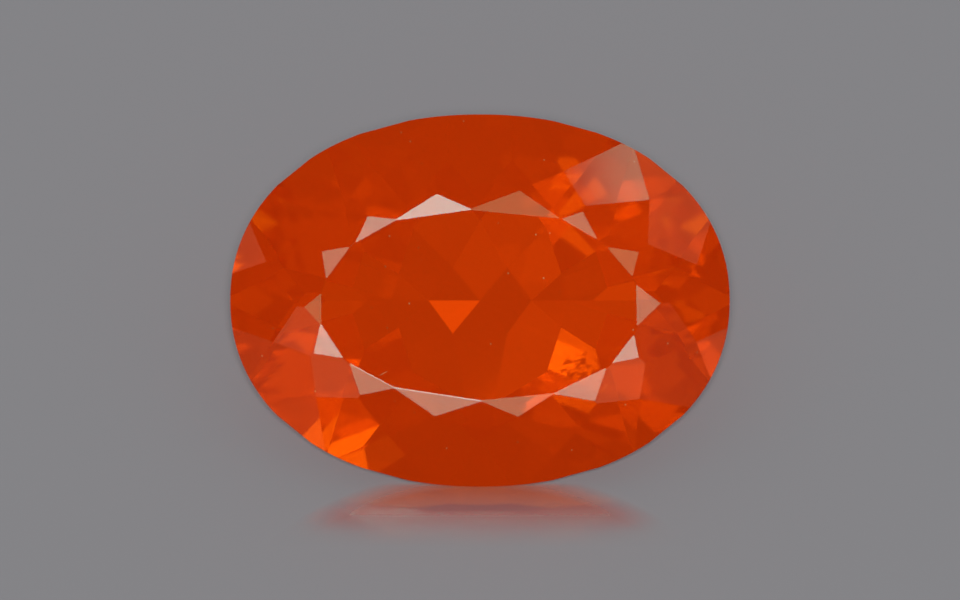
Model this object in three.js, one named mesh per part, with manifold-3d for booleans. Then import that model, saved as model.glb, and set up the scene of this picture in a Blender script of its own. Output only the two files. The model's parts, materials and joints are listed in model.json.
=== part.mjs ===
// A fire opal cut as an oval, lying on the front middle facet of its pavilion, with its table turned up
// to the front. Millimetres. The stone is cut with its table level, its keel along X and the top edge of
// its girdle at z = 0, and is then laid down. Facet corners are given as [x, y] seen from above the table.
import * as THREE from "three";
import { mergeVertices } from "three/addons/utils/BufferGeometryUtils.js";
import Module from "manifold-3d";

const LENGTH = 12;
const WIDTH = 8.94;
const OUTLINE_POWER = 2.13; // 2 would be an ellipse, and this oval is a little fuller
const OUTLINE_STEPS = 168;
const TABLE_HEIGHT = 1.23;
const GIRDLE_THICKNESS = 0.16;
const KEEL_DEPTH = 4.28;
const KITE_SLOPE = Math.tan(THREE.MathUtils.degToRad(25));
const EVENING_PASSES = 4;
const CUTTING_BLOCK = 40;
const TINY = 1e-6;

// Crown, anticlockwise from the right end.
// Star facet n stands on the table's edge between corners n - 1 and n.
const TABLE_CORNERS = [
  [3.74, 0.48], [2.96, 1.38], [1.94, 1.97], [-0.22, 2.18], [-2.02, 1.93], [-3.09, 1.33], [-3.81, 0.36],
  [-3.81, -0.57], [-3.23, -1.45], [-2.04, -2.09], [0.04, -2.4], [1.76, -2.23], [3.1, -1.58], [3.77, -0.72],
];
const STAR_TIPS = [
  [4.46, -0.06], [3.95, 1.25], [2.54, 2.19], [0.98, 2.64], [-1.03, 2.55], [-2.76, 2.03], [-3.95, 1.2],
  [-4.31, -0.04], [-4.0, -1.34], [-2.96, -2.28], [-1.08, -2.77], [0.91, -2.78], [2.82, -2.42], [3.93, -1.42],
];
// How far each kite is cut past its corner, which leaves a short straight edge on the table.
const KITE_OVERCUTS = [0.019, 0.012, 0.004, 0, 0, 0.008, 0.028, 0, 0.012, 0, 0, 0, 0.01, 0.02];
// The star tip right of the top, which stands a little higher than its neighbours' even row.
const HIGH_TIP = 3;
const HIGH_TIP_LIFT = 0.035;
// Where the break facets under the star tips reach the girdle: the direction and half spread, in degrees,
// of one quarter, from the right end to the top.
const BREAK_ENDS = [[0, 6.2], [22.8, 4.1], [46.1, 1.8], [78, 3]];

// Pavilion, one quarter. The third number is the height above the middle of the keel.
const KEEL_POINTS = [[0, 0, 0], [1.25, 0, 0.1], [2.14, 0, 0.43], [2.72, 0, 0.78]];
const WEDGE_TIPS = [[0.66, 0.8, 0.655], [1.97, 0.65, 0.79], [3.08, 0.31, 1.14]];
const END_RIDGE_POINT = [3.73, 0, 1.59];
const LOZENGE_TIPS = [[0, 1.92], [1.61, 1.73], [2.79, 1.18], [4.37, 0.65]];
const LOWER_GIRDLE_AZIMUTHS = [90, 75, 50.5, 16.8];
// The front middle lozenge, which the stone lies on, is longer than the others and has a blunt end.
const REST_SIDES_MEET = [0, 4.1];
const REST_END = [0, 2.9];

const OPAL = new THREE.MeshStandardMaterial({ color: 0xc63102, roughness: 0.06, metalness: 0 });

const wasm = await Module();
wasm.setup();

// A closed three.js geometry as a solid that can be cut.
function solidFrom(geometry) {
  const bare = geometry.clone();
  bare.deleteAttribute("normal");
  bare.deleteAttribute("uv");
  const merged = mergeVertices(bare, TINY);
  return new wasm.Manifold(
    new wasm.Mesh({
      numProp: 3,
      vertProperties: Float32Array.from(merged.attributes.position.array),
      triVerts: Uint32Array.from(merged.index.array),
    }),
  );
}

function geometryFrom(solid) {
  const mesh = solid.getMesh();
  const geometry = new THREE.BufferGeometry();
  geometry.setAttribute("position", new THREE.BufferAttribute(mesh.vertProperties, 3));
  geometry.setIndex(new THREE.BufferAttribute(mesh.triVerts, 1));
  return geometry;
}

// The point of the oval in a direction given in degrees.
function outlinePoint(degrees) {
  const angle = THREE.MathUtils.degToRad(degrees);
  const across = Math.abs(Math.cos(angle) / (LENGTH / 2)) ** OUTLINE_POWER;
  const up = Math.abs(Math.sin(angle) / (WIDTH / 2)) ** OUTLINE_POWER;
  const radius = (across + up) ** (-1 / OUTLINE_POWER);
  return new THREE.Vector2(radius * Math.cos(angle), radius * Math.sin(angle));
}

function lift(point, z) {
  return new THREE.Vector3(point.x, point.y, z);
}

// The oval blank that the facets are cut on.
function blank() {
  const outline = [];
  for (let step = 0; step < OUTLINE_STEPS; step++) {
    outline.push(outlinePoint((360 * step) / OUTLINE_STEPS));
  }
  const spare = 1;
  const geometry = new THREE.ExtrudeGeometry(new THREE.Shape(outline), {
    depth: TABLE_HEIGHT + KEEL_DEPTH + 2 * spare,
    bevelEnabled: false,
  });
  geometry.translate(0, 0, -KEEL_DEPTH - spare);
  return solidFrom(geometry);
}

// The plane through three points, facing away from the middle of the stone.
function facet(a, b, c) {
  const plane = new THREE.Plane().setFromCoplanarPoints(a, b, c);
  const middle = new THREE.Vector3(0, 0, -KEEL_DEPTH / 3);
  if (plane.distanceToPoint(middle) > 0) plane.negate();
  return plane;
}

// The point of a plane above or below [x, y].
function onPlane(plane, [x, y]) {
  const z = -(plane.constant + plane.normal.x * x + plane.normal.y * y) / plane.normal.z;
  return new THREE.Vector3(x, y, z);
}

function distanceToLine(point, start, end) {
  const along = new THREE.Vector2().subVectors(end, start).normalize();
  return Math.abs(along.cross(new THREE.Vector2().subVectors(point, start)));
}

function meetingPoint(p, q, r) {
  const rows = new THREE.Matrix3().set(
    p.normal.x, p.normal.y, p.normal.z,
    q.normal.x, q.normal.y, q.normal.z,
    r.normal.x, r.normal.y, r.normal.z,
  );
  return new THREE.Vector3(-p.constant, -q.constant, -r.constant).applyMatrix3(rows.invert());
}

// Both ends of every break facet's edge on the girdle, anticlockwise from the right end.
function breakEnds() {
  const [end, ...rest] = BREAK_ENDS;
  const mirrored = rest.map(([direction, spread]) => [180 - direction, spread]).reverse();
  const half = [end, ...rest, ...mirrored];
  const all = [...half, ...half.map(([direction, spread]) => [direction + 180, spread])];
  return all.map(([direction, spread]) => ({
    first: lift(outlinePoint(direction - spread), 0),
    last: lift(outlinePoint(direction + spread), 0),
  }));
}

function crownFacets() {
  const count = TABLE_CORNERS.length;
  const before = (n) => (n + count - 1) % count;
  const after = (n) => (n + 1) % count;
  const flatCorners = TABLE_CORNERS.map(([x, y]) => new THREE.Vector2(x, y));
  const flatTips = STAR_TIPS.map(([x, y]) => new THREE.Vector2(x, y));

  // Each star tip is lowered until the kites on both sides of it come close to one slope.
  const reach = flatCorners.map((corner, n) => distanceToLine(corner, flatTips[n], flatTips[after(n)]));
  let drop = reach.map((distance) => KITE_SLOPE * distance);
  for (let pass = 0; pass < EVENING_PASSES; pass++) {
    const slopes = reach.map((distance, n) => (drop[n] + drop[after(n)]) / (2 * distance));
    drop = drop.map((depth, n) => (depth * 2 * KITE_SLOPE) / (slopes[before(n)] + slopes[n]));
  }
  drop[HIGH_TIP] -= HIGH_TIP_LIFT;
  const corners = flatCorners.map((corner) => lift(corner, TABLE_HEIGHT));
  const tips = flatTips.map((tip, n) => lift(tip, TABLE_HEIGHT - drop[n]));

  const table = new THREE.Plane(new THREE.Vector3(0, 0, 1), -TABLE_HEIGHT);
  const stars = tips.map((tip, n) => facet(corners[before(n)], corners[n], tip));
  const kites = corners.map((corner, n) => {
    const kite = facet(corner, tips[n], tips[after(n)]);
    kite.constant += KITE_OVERCUTS[n];
    return kite;
  });

  // Break facets go from a star tip to the girdle, and skirt facets fill in under the kites.
  const ends = breakEnds();
  const breaks = tips.map((tip, n) => facet(tip, ends[n].first, ends[n].last));
  const skirts = kites.map((kite, n) => {
    const kiteTip = meetingPoint(kite, breaks[n], breaks[after(n)]);
    return facet(kiteTip, ends[n].last, ends[after(n)].first);
  });
  return [table, ...stars, ...kites, ...breaks, ...skirts];
}

// The facets of the pavilion's quarter with x and y above zero, row by row from the keel.
function quarterPavilion(firstTip, firstRowEnd) {
  const place = ([x, y, rise]) => new THREE.Vector3(x, y, rise - KEEL_DEPTH);
  const keel = KEEL_POINTS.map(place);
  const wedgeTips = WEDGE_TIPS.map(place);
  const ridge = place(END_RIDGE_POINT);
  const wedges = wedgeTips.map((tip, n) => facet(keel[n], keel[n + 1], tip));

  const [inner] = wedgeTips;
  const sides = [new THREE.Vector3(-inner.x, inner.y, inner.z), ...wedgeTips, ridge];
  const lozenges = keel.map((point, n) => facet(point, sides[n], sides[n + 1]));

  const tips = [firstTip, ...LOZENGE_TIPS.slice(1)].map((tip, n) => onPlane(lozenges[n], tip));
  const lastTip = tips.at(-1);
  const belly = wedgeTips.map((tip, n) => facet(tip, tips[n], tips[n + 1]));
  belly.push(facet(ridge, lastTip, new THREE.Vector3(lastTip.x, -lastTip.y, lastTip.z)));

  // The last row starts at the lozenges' tips and meets the lower edge of the girdle.
  const rowEnds = [onPlane(lozenges[0], firstRowEnd), ...tips.slice(1)];
  const lower = rowEnds.map((tip, n) => {
    const angle = THREE.MathUtils.degToRad(LOWER_GIRDLE_AZIMUTHS[n]);
    const along = new THREE.Vector3(-Math.sin(angle), Math.cos(angle), 0);
    const edge = outlinePoint(THREE.MathUtils.radToDeg(Math.atan2(tip.y, tip.x)));
    return facet(tip, new THREE.Vector3().addVectors(tip, along), lift(edge, -GIRDLE_THICKNESS));
  });
  return { wedges, lozenges, belly, lower };
}

function mirror(plane, x, y) {
  const normal = new THREE.Vector3(plane.normal.x * x, plane.normal.y * y, plane.normal.z);
  return new THREE.Plane(normal, plane.constant);
}

function pavilionFacets() {
  const back = Object.values(quarterPavilion(LOZENGE_TIPS[0], LOZENGE_TIPS[0])).flat();
  const front = Object.values(quarterPavilion(REST_SIDES_MEET, REST_END)).flat();
  const right = [...back, ...front.map((plane) => mirror(plane, 1, -1))];
  const sloping = right.filter((plane) => Math.abs(plane.normal.x) > TINY);
  return [...right, ...sloping.map((plane) => mirror(plane, -1, 1))];
}

// Everything outside a plane, as a block whose face lies on it.
function blockOutside(plane) {
  const geometry = new THREE.BoxGeometry(CUTTING_BLOCK, CUTTING_BLOCK, CUTTING_BLOCK);
  geometry.translate(0, 0, CUTTING_BLOCK / 2);
  geometry.applyQuaternion(
    new THREE.Quaternion().setFromUnitVectors(new THREE.Vector3(0, 0, 1), plane.normal),
  );
  const foot = plane.coplanarPoint(new THREE.Vector3());
  geometry.translate(foot.x, foot.y, foot.z);
  return solidFrom(geometry);
}

function cutStone() {
  const facets = [...crownFacets(), ...pavilionFacets()];
  return facets.reduce((stone, plane) => stone.subtract(blockOutside(plane)), blank());
}

// Turns the stone until the front middle lozenge faces down, and stands the middle of its box on the origin.
function layDown(stone) {
  const [lozenge] = quarterPavilion(REST_SIDES_MEET, REST_END).lozenges;
  const restFace = mirror(lozenge, 1, -1);
  stone.quaternion.setFromUnitVectors(restFace.normal, new THREE.Vector3(0, 0, -1));
  const box = new THREE.Box3().setFromObject(stone, true);
  const middle = box.getCenter(new THREE.Vector3());
  stone.position.set(-middle.x, -middle.y, -box.min.z);
}

const stone = new THREE.Mesh(geometryFrom(cutStone()), OPAL);
stone.name = "fire_opal";
layDown(stone);

const root = new THREE.Group();
root.add(stone);
export default root;
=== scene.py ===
"""A cut fire opal lying on a pale floor under soft studio light, seen straight down on its table."""
import json
import math

import bmesh
import bpy
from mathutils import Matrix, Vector
from mathutils.bvhtree import BVHTree

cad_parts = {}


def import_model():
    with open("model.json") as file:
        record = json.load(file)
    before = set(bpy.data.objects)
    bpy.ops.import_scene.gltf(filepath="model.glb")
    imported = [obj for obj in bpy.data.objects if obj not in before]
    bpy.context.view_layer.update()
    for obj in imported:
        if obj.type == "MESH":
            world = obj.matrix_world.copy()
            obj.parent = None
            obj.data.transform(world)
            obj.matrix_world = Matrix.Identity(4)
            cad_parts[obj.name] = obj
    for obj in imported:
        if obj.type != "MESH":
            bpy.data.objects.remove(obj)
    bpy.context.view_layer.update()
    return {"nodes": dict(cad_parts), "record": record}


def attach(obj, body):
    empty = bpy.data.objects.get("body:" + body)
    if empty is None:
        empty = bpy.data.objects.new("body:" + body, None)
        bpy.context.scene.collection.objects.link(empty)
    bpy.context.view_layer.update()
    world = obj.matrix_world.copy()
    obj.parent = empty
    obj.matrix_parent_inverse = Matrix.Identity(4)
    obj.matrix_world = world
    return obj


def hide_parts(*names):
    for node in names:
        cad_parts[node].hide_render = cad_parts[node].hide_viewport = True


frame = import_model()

# Lengths are in metres and angles in degrees, unless a comment gives mm.
MM = 0.001
WHITE = (1, 1, 1)
WARM = (1, 0.7, 0.4)

# The cut: how high the crown stands over the girdle, and how much of the table's edges is blunted.
CROWN_HEIGHT = 1.23 * MM
TABLE_BLUNTING = 0.014 * MM
# Corners nearer to each other than this are one corner, and faces that turn less than this are one facet.
SAME_CORNER = 0.004 * MM
SAME_FACET = 0.25
# The star facets and the table's blunted edges: their least and most tilt from the table, and least area.
STAR_TILTS = (15, 20.2)
STAR_AREA = 0.1 * MM * MM
BLUNT_TILTS = (5, 13)
BLUNT_AREA = 0.015 * MM * MM

# The opal is clear, and a little milky.
OPAL_COLOUR = (1, 0.1, 0.002, 1)
OPAL_CLEARNESS = 0.85
OPAL_ROUGHNESS = 0.045
REFRACTIVE_INDEX = 1.45
ABSORPTION_COLOUR = (0.97, 0.65, 0.05, 1)
ABSORPTION_DENSITY = 60

# Dust: cells in a metre, with a speck in each, and a speck's radius in cells, at its rim and at its core.
DUST_CELLS = 2.1 / MM
SPECK_RIM = 0.05
SPECK_CORE = 0.035
DUST_COLOUR = (1, 0.7, 0.5, 1)

# A scratch in the table: its ends in mm right and up of the stone's middle, and how long a detour it is
# from end to end by way of its rim and of its core.
SCRATCH_ENDS = [(-2.4, -1.79), (-2.21, -1.69)]
SCRATCH_RIM = 0.0012 * MM
SCRATCH_CORE = 0.0004 * MM

# Pits in a facet below: the middle of their patch, and its radius at its rim and at its core.
PITS_MIDDLE = (2.42 * MM, 0.25 * MM, 0.4 * MM)
PITS_RIM = 0.55 * MM
PITS_CORE = 0.4 * MM
# The noise that makes them ragged: how fine and detailed it is, and its value at a pit's edge and floor.
PITS_GRAIN = 5 / MM
PITS_DETAIL = 4
PITS_EDGE = 0.5
PITS_FLOOR = 0.53
PITS_COLOUR = (0.8, 0.06, 0.001, 1)
PITS_ROUGHNESS = 0.4

# The floor is matt but for a polished strip before the stone: how many mm before its middle, and how
# polished it is there.
FLOOR_WIDTH = 8
FLOOR_DROP = 0.01 * MM
FLOOR_COLOUR = (0.341, 0.339, 0.357, 1)
POLISHED_STRIP = [(3, 0), (3.1, 0.85), (3.45, 0.72), (3.9, 0.58), (4.5, 0.2), (5, 0)]
STRIP_REACH = 10
STRIP_ROUGHNESS = 0.2
# The strip's near side is an arch, part of a circle round a point farther before the stone.
ARCH_MIDDLE = (0, -9.7 * MM, 0)
ARCH_RIM = 7.1 * MM
ARCH_CORE = 6.5 * MM

# The surroundings, and how bright they are to what passes through the stone, to its gloss and to the rest.
BACKDROP = (0.235, 0.231, 0.243)
SEEN_THROUGH_STRENGTH = 0.22
GLOSS_STRENGTH = 0.015
SOFT_STRENGTH = 0.2

# How far away the softboxes stand, and half the width of those that a facet mirrors.
LIGHT_DISTANCE = 0.5
FACET_SPREAD = 1.2
BLUNT_SPREAD = 3

# The star facets from the right end, anticlockwise: how bright a softbox each one mirrors. Another program
# first worked these out from how pale each facet is in the photo. They were then rounded and changed by up
# to an eighth.
STAR_RADIANCE = [2.8, 1.4, 2.8, 1.2, 11.4, 6, 3, 1.3, 8.4, 3.4, 3.9, 2.3, 5, 7.4]
# The same for the blunted edges of the table beside them, with two brighter ones at the front left.
BLUNT_RADIANCE = STAR_RADIANCE[:9] + [9, 13] + STAR_RADIANCE[11:]
# The light of such a softbox is its brightness times the first colour, plus the second one.
SOFTBOX_COLOUR = (0.6, 1, 1)
ADDED_COLOUR = (0.1, 1.4, 0.1)

# Facets with a paler look: where they lie, in mm right and up of the stone's middle, and how bright a
# softbox they mirror. The places and the first brightnesses came from that program too.
PALE_FACETS = [
    (-4.3, -0.75, 0.4), (-3.5, -1.85, 0.45), (-4.7, -1.8, 0.15), (-4.25, -2.85, 0.15), (-5.5, -1.2, 0.15),
    (-5.55, 1.2, 0.32), (3.4, -1.95, 0.52), (4.7, -1.85, 0.12), (4.35, -0.8, 0.12), (5.55, -1.2, 0.3),
    (4.75, 1.8, 0.35), (4.2, 2.9, 0.3),
]
PALE_COLOUR = (4, 2, 1)

# The palest facet, right of the top, mirrors the edges of softboxes that lie one over another: where each
# edge falls on it, in mm right and up of the stone's middle, and the way from there into the softbox.
SOFT_EDGES = [(2.45, 3.1), (2.79, 3.1), (3.08, 3.1), (3.36, 3.1)]
INWARD = (0.3, 0.1)
SOFT_EDGE_SPREAD = 1.5
SOFT_EDGE_RADIANCE = 0.7
SOFT_EDGE_COLOUR = (0.1, 1.4, 1)

# Small softboxes behind and beside the stone, met only by light that has come through it. Each group makes
# one of its flashes, and the last one is for its image in the floor. Angle off the line of sight, azimuth,
# half width, and how bright. Most of these numbers were first found by another program, which fitted traced
# lines of sight to the photo's colours. They were then rounded, and some were changed.
SEEN_THROUGH = {
    "triangle_below_the_middle": [(157, 80, 5, 0.5)],
    "orange_patch": [(42, 178, 4, 1.6), (47, 171, 4, 0.75), (46, -176, 4, 0.6), (39, 130, 4, 0.35)],
    "flash_by_the_palest_facet": [
        (41, -173, 3, 0.5), (40, 171, 3, 0.5), (34, -170, 4, 0.2), (22, -173, 4, 0.45),
    ],
    "under_the_palest_facet": [
        (56, 167, 4, 0.65), (68, 147, 4, 0.3), (53, 158, 6, 0.32), (53, -169, 4, 0.45), (55, 178, 6, 0.12),
        (64, 157, 18, 0.12), (84, -178, 28, 0.15), (85, -144, 4, 0.25), (35, -151, 6, 0.55),
    ],
    "red_patch_beside_the_orange": [
        (33, 180, 3, 0.45), (35, 176, 3, 0.5), (32, 154, 3, 0.25), (32, -171, 4, 0.25),
    ],
    "small_red_triangle": [(49, 13, 4, 0.25)],
    "low_left_glow": [
        (53, -3, 3, 0.3), (53, -14, 4, 0.4), (51, -18, 3, 0.7), (66, -20, 5, 0.6), (79, -21, 12, 0.2),
        (74, -1, 18, 0.1), (51, -38, 18, 0.12), (49, -32, 9, 0.5), (85, -8, 5, 0.45),
    ],
    "low_left_flash": [
        (72, 48, 8, 1.1), (74, 53, 5, 0.4), (76, 37, 5, 1), (80, 57, 4, 1), (80, 62, 3, 0.15),
    ],
    "glow_in_the_table": [
        (66, -156, 12, 0.25), (75, -156, 4, 0.2), (38, -118, 24, 0.1), (25, -133, 9, 0.2),
        (24, 121, 28, 0.04), (28, 0, 11, 0.07),
    ],
    "glow_from_below": [
        (121, -54, 28, 0.6), (147, -97, 8, 0.1), (145, -81, 4, 0.06), (152, -164, 5, 0.2),
        (155, 144, 14, 0.08), (148, 102, 4, 0.15), (151, 0, 13, 0.05),
    ],
    "in_the_floor": [(104, 78, 6, 1), (104, 90, 6, 1), (104, 102, 6, 1)],
}
# The colours of those softboxes that aren't white.
FLASH_COLOURS = {
    "orange_patch": (0.95, 1.4, 1),
    "low_left_flash": (0.95, 1.4, 1),
    "in_the_floor": (0.55, 1.3, 0.02),
}

# Large softboxes beside and behind the stone, for its gloss from other sides, given in the same way.
SIDE_SOFTBOXES = [
    (103, 90, 16, 1.2), (96, 35, 12, 1.2), (96, 145, 12, 1.2), (88, 5, 8, 1.2), (88, 175, 8, 1.2),
]
# The pale floor as the gloss meets it: a panel behind the stone and just under it.
FLOOR_PANEL_PLACE = (0, 35 * MM, -1 * MM)
FLOOR_PANEL_WIDTH = 60 * MM
FLOOR_PANEL_RADIANCE = 0.23

# Walls and a ceiling, how far away, and how bright each is to the milky stone and to the polished floor.
TENT_REACH = 2
TENT_SIDES = {
    "right": (1, 0, 0),
    "left": (-1, 0, 0),
    "back": (0, 1, 0),
    "front": (0, -1, 0),
    "above": (0, 0, 1),
}
STONE_TENT = {"right": 0.9, "left": 1.6, "back": 0.3, "front": 2.9, "above": 1.6}
FLOOR_TENT = dict.fromkeys(TENT_SIDES, 0.21)

# The key light of the floor: half width, elevation, distance, and how bright.
KEY_SPREAD = 4
KEY_ELEVATION = 52
KEY_DISTANCE = 3
KEY_RADIANCE = 124

cad_stone = frame["nodes"]["fire_opal"]
mounts = {mount["name"]: mount for mount in frame["record"]["mounts"]}
table_normal = Vector(mounts["table_face"]["axis"]).normalized()
long_axis = Vector((1, 0, 0))
short_axis = table_normal.cross(long_axis)


def stone_middle():
    """The middle of the stone's outline as seen on its table, at the height of the girdle."""
    points = [vertex.co for vertex in cad_stone.data.vertices]
    middle = Vector((0, 0, 0))
    for axis in (long_axis, short_axis):
        along = [point.dot(axis) for point in points]
        middle += axis * (min(along) + max(along)) / 2
    return middle + table_normal * (max(point.dot(table_normal) for point in points) - CROWN_HEIGHT)


centre = stone_middle()


def over_the_girdle(right, up, height):
    """A point given in mm right and up of the stone's middle, and by its height over the girdle."""
    return centre + long_axis * right * MM + short_axis * up * MM + table_normal * height


def camera():
    """A long lens straight over the table, with the stone's middle a hair under the picture's."""
    # In mm.
    lens = 400
    sensor = 36
    frame_width = 23.06 * MM
    rise = 0.012 * MM
    data = bpy.data.cameras.new("camera")
    data.lens = lens
    data.sensor_width = sensor
    data.clip_start = 1 * MM
    data.clip_end = 100
    cam = bpy.data.objects.new("camera", data)
    bpy.context.scene.collection.objects.link(cam)
    cam.location = centre + short_axis * rise + table_normal * frame_width * lens / sensor
    cam.rotation_mode = "QUATERNION"
    cam.rotation_quaternion = table_normal.to_track_quat("Z", "Y")
    bpy.context.scene.camera = cam


def ramp(tree, value, start, end, low=0, high=1):
    """Low where a value is at its start, high where it is at its end, and straight between them."""
    node = tree.nodes.new("ShaderNodeMapRange")
    node.inputs["From Min"].default_value = start
    node.inputs["From Max"].default_value = end
    node.inputs["To Min"].default_value = low
    node.inputs["To Max"].default_value = high
    tree.links.new(value, node.inputs["Value"])
    return node.outputs["Result"]


def together(tree, operation, first, second):
    """Two values put together by an operation."""
    node = tree.nodes.new("ShaderNodeMath")
    node.operation = operation
    tree.links.new(first, node.inputs[0])
    tree.links.new(second, node.inputs[1])
    return node.outputs["Value"]


def distance_to(tree, point, place):
    """How far a place is from a point."""
    node = tree.nodes.new("ShaderNodeVectorMath")
    node.operation = "DISTANCE"
    node.inputs[1].default_value = point
    tree.links.new(place, node.inputs[0])
    return node.outputs["Value"]


def colour_mix(tree, amount):
    """Colour A where the amount is 0, and colour B where it is 1."""
    node = tree.nodes.new("ShaderNodeMix")
    node.data_type = "RGBA"
    tree.links.new(amount, node.inputs["Factor"])
    return node


def shader_mix(tree, amount, first, second):
    """The first shader where the amount is 0, and the second where it is 1."""
    node = tree.nodes.new("ShaderNodeMixShader")
    tree.links.new(amount, node.inputs["Fac"])
    tree.links.new(first, node.inputs[1])
    tree.links.new(second, node.inputs[2])
    return node.outputs["Shader"]


def dust(tree, place):
    """How much of a place is a speck of dust, from 0 to 1."""
    cells = tree.nodes.new("ShaderNodeTexVoronoi")
    cells.inputs["Scale"].default_value = DUST_CELLS
    tree.links.new(place, cells.inputs["Vector"])
    return ramp(tree, cells.outputs["Distance"], SPECK_RIM, SPECK_CORE)


def scratch(tree, place):
    """How much of a place is in the scratch, where the way between its ends makes hardly a detour."""
    first_end, last_end = [over_the_girdle(right, up, CROWN_HEIGHT) for right, up in SCRATCH_ENDS]
    way = together(tree, "ADD", distance_to(tree, first_end, place), distance_to(tree, last_end, place))
    length = (last_end - first_end).length
    return ramp(tree, way, length + SCRATCH_RIM, length + SCRATCH_CORE)


def pits(tree, place):
    """How much of a place is pitted: ragged blots in a round patch."""
    grain = tree.nodes.new("ShaderNodeTexNoise")
    grain.inputs["Scale"].default_value = PITS_GRAIN
    grain.inputs["Detail"].default_value = PITS_DETAIL
    tree.links.new(place, grain.inputs["Vector"])
    ragged = ramp(tree, grain.outputs["Fac"], PITS_EDGE, PITS_FLOOR)
    patch = ramp(tree, distance_to(tree, PITS_MIDDLE, place), PITS_RIM, PITS_CORE)
    return together(tree, "MULTIPLY", ragged, patch)


def opal_material():
    """Clear orange-red opal, a little milky, with dust and a scratch on it and pits in one facet below."""
    material = bpy.data.materials.new("fire_opal")
    material.use_nodes = True
    tree = material.node_tree
    shader = tree.nodes["Principled BSDF"]
    shader.inputs["Transmission Weight"].default_value = OPAL_CLEARNESS
    shader.inputs["IOR"].default_value = REFRACTIVE_INDEX
    absorption = tree.nodes.new("ShaderNodeVolumeAbsorption")
    absorption.inputs["Color"].default_value = ABSORPTION_COLOUR
    absorption.inputs["Density"].default_value = ABSORPTION_DENSITY
    tree.links.new(absorption.outputs["Volume"], tree.nodes["Material Output"].inputs["Volume"])

    place = tree.nodes.new("ShaderNodeTexCoord").outputs["Object"]
    marks = together(tree, "MAXIMUM", dust(tree, place), scratch(tree, place))
    pitting = pits(tree, place)
    pitted = colour_mix(tree, pitting)
    pitted.inputs["A"].default_value = OPAL_COLOUR
    pitted.inputs["B"].default_value = PITS_COLOUR
    dusty = colour_mix(tree, marks)
    dusty.inputs["B"].default_value = DUST_COLOUR
    tree.links.new(pitted.outputs["Result"], dusty.inputs["A"])
    tree.links.new(dusty.outputs["Result"], shader.inputs["Base Color"])
    roughness = ramp(tree, pitting, 0, 1, OPAL_ROUGHNESS, PITS_ROUGHNESS)
    tree.links.new(roughness, shader.inputs["Roughness"])
    return material


def stone():
    """The cut stone, with one flat face for each facet."""
    mesh = cad_stone.data.copy()
    piece = bpy.data.objects.new("opal", mesh)
    bpy.context.scene.collection.objects.link(piece)
    work = bmesh.new()
    work.from_mesh(mesh)
    bmesh.ops.remove_doubles(work, verts=work.verts, dist=SAME_CORNER)
    turn = math.radians(SAME_FACET)
    bmesh.ops.dissolve_limit(work, angle_limit=turn, verts=work.verts, edges=work.edges)
    work.to_mesh(mesh)
    work.free()
    mesh.materials.clear()
    mesh.materials.append(opal_material())
    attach(piece, "root")
    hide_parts("fire_opal")
    return piece


def blunt_table_edges(piece):
    """Narrow facets all round the table, the largest facet, in place of its sharp edges."""
    work = bmesh.new()
    work.from_mesh(piece.data)
    table = max(work.faces, key=lambda face: face.calc_area())
    bmesh.ops.bevel(work, geom=list(table.edges), offset=TABLE_BLUNTING, segments=1, affect="EDGES")
    work.to_mesh(piece.data)
    work.free()
    piece.data.shade_flat()


def polish_amount(tree):
    """How polished the floor is: a strip before the stone, with an arch for its near side."""
    place = tree.nodes.new("ShaderNodeTexCoord").outputs["Object"]
    split = tree.nodes.new("ShaderNodeSeparateXYZ")
    tree.links.new(place, split.inputs["Vector"])
    before = ramp(tree, split.outputs["Y"], 0, -STRIP_REACH * MM)
    strip = tree.nodes.new("ShaderNodeValToRGB")
    tree.links.new(before, strip.inputs["Fac"])
    stops = strip.color_ramp.elements
    for way, amount in POLISHED_STRIP:
        stops.new(way / STRIP_REACH).color = (amount, amount, amount, 1)
    stops.remove(stops[0])
    stops.remove(stops[-1])
    arch = ramp(tree, distance_to(tree, ARCH_MIDDLE, place), ARCH_RIM, ARCH_CORE)
    return together(tree, "MULTIPLY", strip.outputs["Color"], arch)


def floor_material():
    material = bpy.data.materials.new("floor")
    material.use_nodes = True
    tree = material.node_tree
    matt = tree.nodes.new("ShaderNodeBsdfDiffuse")
    matt.inputs["Color"].default_value = FLOOR_COLOUR
    polished = tree.nodes.new("ShaderNodeBsdfAnisotropic")
    polished.inputs["Color"].default_value = (*WHITE, 1)
    polished.inputs["Roughness"].default_value = STRIP_ROUGHNESS
    shader = shader_mix(tree, polish_amount(tree), matt.outputs["BSDF"], polished.outputs["BSDF"])
    tree.links.new(shader, tree.nodes["Material Output"].inputs["Surface"])
    return material


def floor():
    """A pale floor, which the stone neither mirrors nor shows through it."""
    bpy.ops.mesh.primitive_plane_add(size=FLOOR_WIDTH, location=(0, 0, -FLOOR_DROP))
    plane = bpy.context.object
    plane.name = "floor"
    plane.data.materials.append(floor_material())
    plane.visible_transmission = False
    plane.visible_glossy = False
    return plane


def background(node, colour, strength):
    node.inputs["Color"].default_value = (*colour, 1)
    node.inputs["Strength"].default_value = strength
    return node.outputs["Background"]


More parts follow.
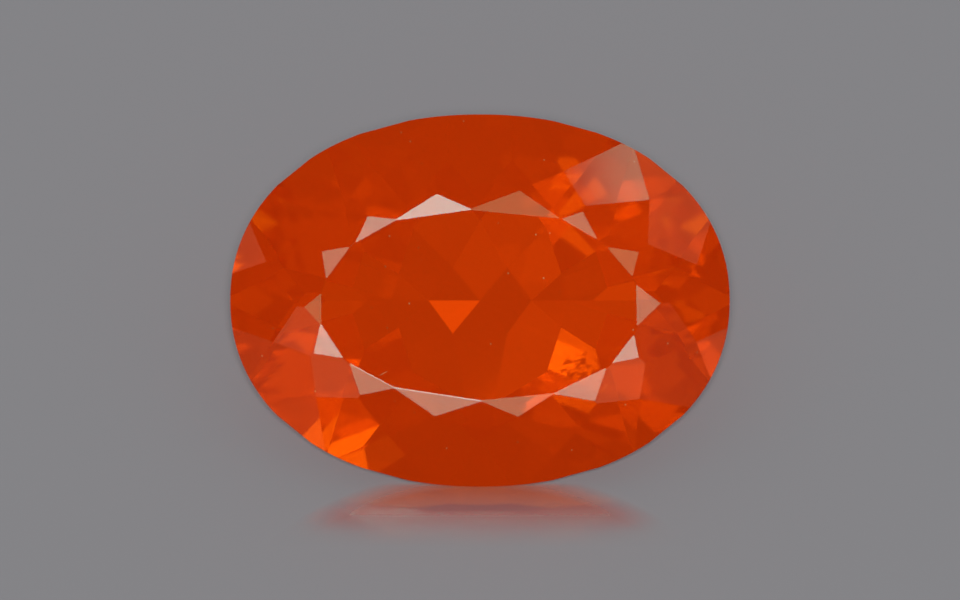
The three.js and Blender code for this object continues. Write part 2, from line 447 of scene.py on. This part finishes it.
def world():
    """Pale surroundings, warm where they are seen through the stone and dark in its gloss."""
    made = bpy.data.worlds.new("studio")
    bpy.context.scene.world = made
    made.use_nodes = True
    tree = made.node_tree
    path = tree.nodes.new("ShaderNodeLightPath")
    soft = background(tree.nodes["Background"], WHITE, SOFT_STRENGTH)
    in_gloss = background(tree.nodes.new("ShaderNodeBackground"), WHITE, GLOSS_STRENGTH)
    seen_through = background(tree.nodes.new("ShaderNodeBackground"), WARM, SEEN_THROUGH_STRENGTH)
    backdrop = background(tree.nodes.new("ShaderNodeBackground"), BACKDROP, 1)
    by_gloss = shader_mix(tree, path.outputs["Is Glossy Ray"], soft, in_gloss)
    by_glass = shader_mix(tree, path.outputs["Is Transmission Ray"], by_gloss, seen_through)
    by_camera = shader_mix(tree, path.outputs["Is Camera Ray"], by_glass, backdrop)
    tree.links.new(by_camera, tree.nodes["World Output"].inputs["Surface"])


def lit_only(thing):
    """A collection of one object, for lights that reach nothing else."""
    group = bpy.data.collections.new(f"lit_{thing.name}")
    group.objects.link(thing)
    return group


def panel(name, shape, size, place, back, radiance, rays, group, colour=WHITE):
    """An area light with its back turned to a direction, met only by one kind of ray and by one group."""
    data = bpy.data.lights.new(name, "AREA")
    data.shape = shape
    data.size = size
    area = math.pi * (size / 2) ** 2 if shape == "DISK" else size * size
    data.energy = radiance * math.pi * area
    data.color = colour
    light = bpy.data.objects.new(name, data)
    bpy.context.scene.collection.objects.link(light)
    light.location = place
    light.rotation_mode = "QUATERNION"
    light.rotation_quaternion = back.to_track_quat("Z", "Y")
    light.visible_camera = False
    light.visible_diffuse = rays == "diffuse"
    light.visible_glossy = rays == "glossy"
    light.visible_transmission = rays == "transmission"
    light.light_linking.receiver_collection = group


def lamp(name, place, direction, spread, radiance, rays, group, distance=LIGHT_DISTANCE, colour=WHITE):
    """A far round light: the spread is half its width in degrees."""
    size = 2 * distance * math.tan(math.radians(spread))
    panel(name, "DISK", size, place + direction * distance, direction, radiance, rays, group, colour)


def toward(off_axis, azimuth):
    """A direction by its angle off the line of sight, and its azimuth from the stone's right end."""
    lean, turn = math.radians(off_axis), math.radians(azimuth)
    around = long_axis * math.cos(turn) + short_axis * math.sin(turn)
    return table_normal * math.cos(lean) + around * math.sin(lean)


def mirrored(face, point):
    """Where the camera looks by way of a point of a facet."""
    sight = (bpy.context.scene.camera.location - point).normalized()
    return 2 * face.normal.dot(sight) * face.normal - sight


def round_the_table(piece, tilts, least_area):
    """The facets of such tilts from the table and of such a size, from the right end anticlockwise."""
    least_tilt, most_tilt = tilts
    ring = []
    for face in piece.data.polygons:
        tilt = math.degrees(face.normal.angle(table_normal))
        if least_tilt < tilt < most_tilt and face.area > least_area:
            turn = math.degrees(math.atan2(face.normal.dot(short_axis), face.normal.dot(long_axis)))
            ring.append((turn % 360, face))
    ring.sort(key=lambda entry: entry[0])
    return [face for _, face in ring]


def ring_lights(name, faces, brightness, spread, group):
    """A softbox for each facet of a ring to mirror."""
    for face, radiance in zip(faces, brightness):
        colour = [radiance * part + extra for part, extra in zip(SOFTBOX_COLOUR, ADDED_COLOUR)]
        lamp(name, face.center, mirrored(face, face.center), spread, 1, "glossy", group, colour=colour)


def facet_seen_at(piece, right, up):
    """The facet seen at a place given in mm right and up of the stone's middle, and the point on it."""
    mesh = piece.data
    corners = [vertex.co for vertex in mesh.vertices]
    tree = BVHTree.FromPolygons(corners, [face.vertices for face in mesh.polygons])
    point, _, index, _ = tree.ray_cast(over_the_girdle(right, up, 20 * MM), -table_normal)
    return mesh.polygons[index], point


def pale_facet_lights(piece, group):
    for number, (right, up, radiance) in enumerate(PALE_FACETS):
        face, point = facet_seen_at(piece, right, up)
        way = mirrored(face, point)
        lamp(f"pale_{number}", point, way, FACET_SPREAD, radiance, "glossy", group, colour=PALE_COLOUR)


def soft_edges(piece, group):
    """Softboxes each with its edge where a point of the palest facet mirrors it."""
    inward = long_axis * INWARD[0] * MM + short_axis * INWARD[1] * MM
    for number, (right, up) in enumerate(SOFT_EDGES):
        face, start = facet_seen_at(piece, right, up)
        end = start + inward
        edge = start + mirrored(face, start) * LIGHT_DISTANCE
        way = end + mirrored(face, end) * LIGHT_DISTANCE - edge
        half_width = LIGHT_DISTANCE * math.tan(math.radians(SOFT_EDGE_SPREAD))
        direction = (edge + way.normalized() * half_width - start).normalized()
        lamp(
            f"edge_{number}", start, direction, SOFT_EDGE_SPREAD, SOFT_EDGE_RADIANCE, "glossy", group,
            colour=SOFT_EDGE_COLOUR)


def flash_lights(group):
    for flash, boxes in SEEN_THROUGH.items():
        colour = FLASH_COLOURS.get(flash, WHITE)
        for off_axis, azimuth, spread, radiance in boxes:
            direction = toward(off_axis, azimuth)
            lamp(flash, centre, direction, spread, radiance, "transmission", group, colour=colour)


def gloss_lights(group):
    for off_axis, azimuth, spread, radiance in SIDE_SOFTBOXES:
        lamp("gloss", centre, toward(off_axis, azimuth), spread, radiance, "glossy", group)
    place, down = Vector(FLOOR_PANEL_PLACE), Vector((0, 0, -1))
    panel(
        "floor_in_gloss", "SQUARE", FLOOR_PANEL_WIDTH, place, down, FLOOR_PANEL_RADIANCE, "glossy", group)


def light_tent(name, brightness, rays, group, colour=WHITE):
    """Four pale walls and a ceiling, by how bright each is."""
    for side, radiance in brightness.items():
        way = Vector(TENT_SIDES[side])
        place = way * TENT_REACH
        panel(f"{name}_{side}", "SQUARE", 2 * TENT_REACH, place, way, radiance, rays, group, colour)


def key_light(group):
    """The softbox that gives the floor most of its light, from before the stone."""
    elevation = math.radians(KEY_ELEVATION)
    direction = Vector((0, -math.cos(elevation), math.sin(elevation)))
    lamp("key", centre, direction, KEY_SPREAD, KEY_RADIANCE, "diffuse", group, distance=KEY_DISTANCE)


camera()
opal = stone()
ground = floor()
world()
lit_stone = lit_only(opal)
ring_lights("star", round_the_table(opal, STAR_TILTS, STAR_AREA), STAR_RADIANCE, FACET_SPREAD, lit_stone)
flash_lights(lit_stone)
gloss_lights(lit_stone)
pale_facet_lights(opal, lit_stone)
soft_edges(opal, lit_stone)
blunt_table_edges(opal)
blunt_edges = round_the_table(opal, BLUNT_TILTS, BLUNT_AREA)
ring_lights("table_edge", blunt_edges, BLUNT_RADIANCE, BLUNT_SPREAD, lit_stone)
light_tent("haze", STONE_TENT, "diffuse", lit_stone, WARM)
lit_floor = lit_only(ground)
light_tent("tent", FLOOR_TENT, "glossy", lit_floor)
key_light(lit_floor)
bpy.context.scene.view_settings.view_transform = "Standard"
bpy.context.scene.cycles.max_bounces = 20
bpy.context.scene.cycles.glossy_bounces = 16
bpy.context.scene.cycles.transmission_bounces = 12
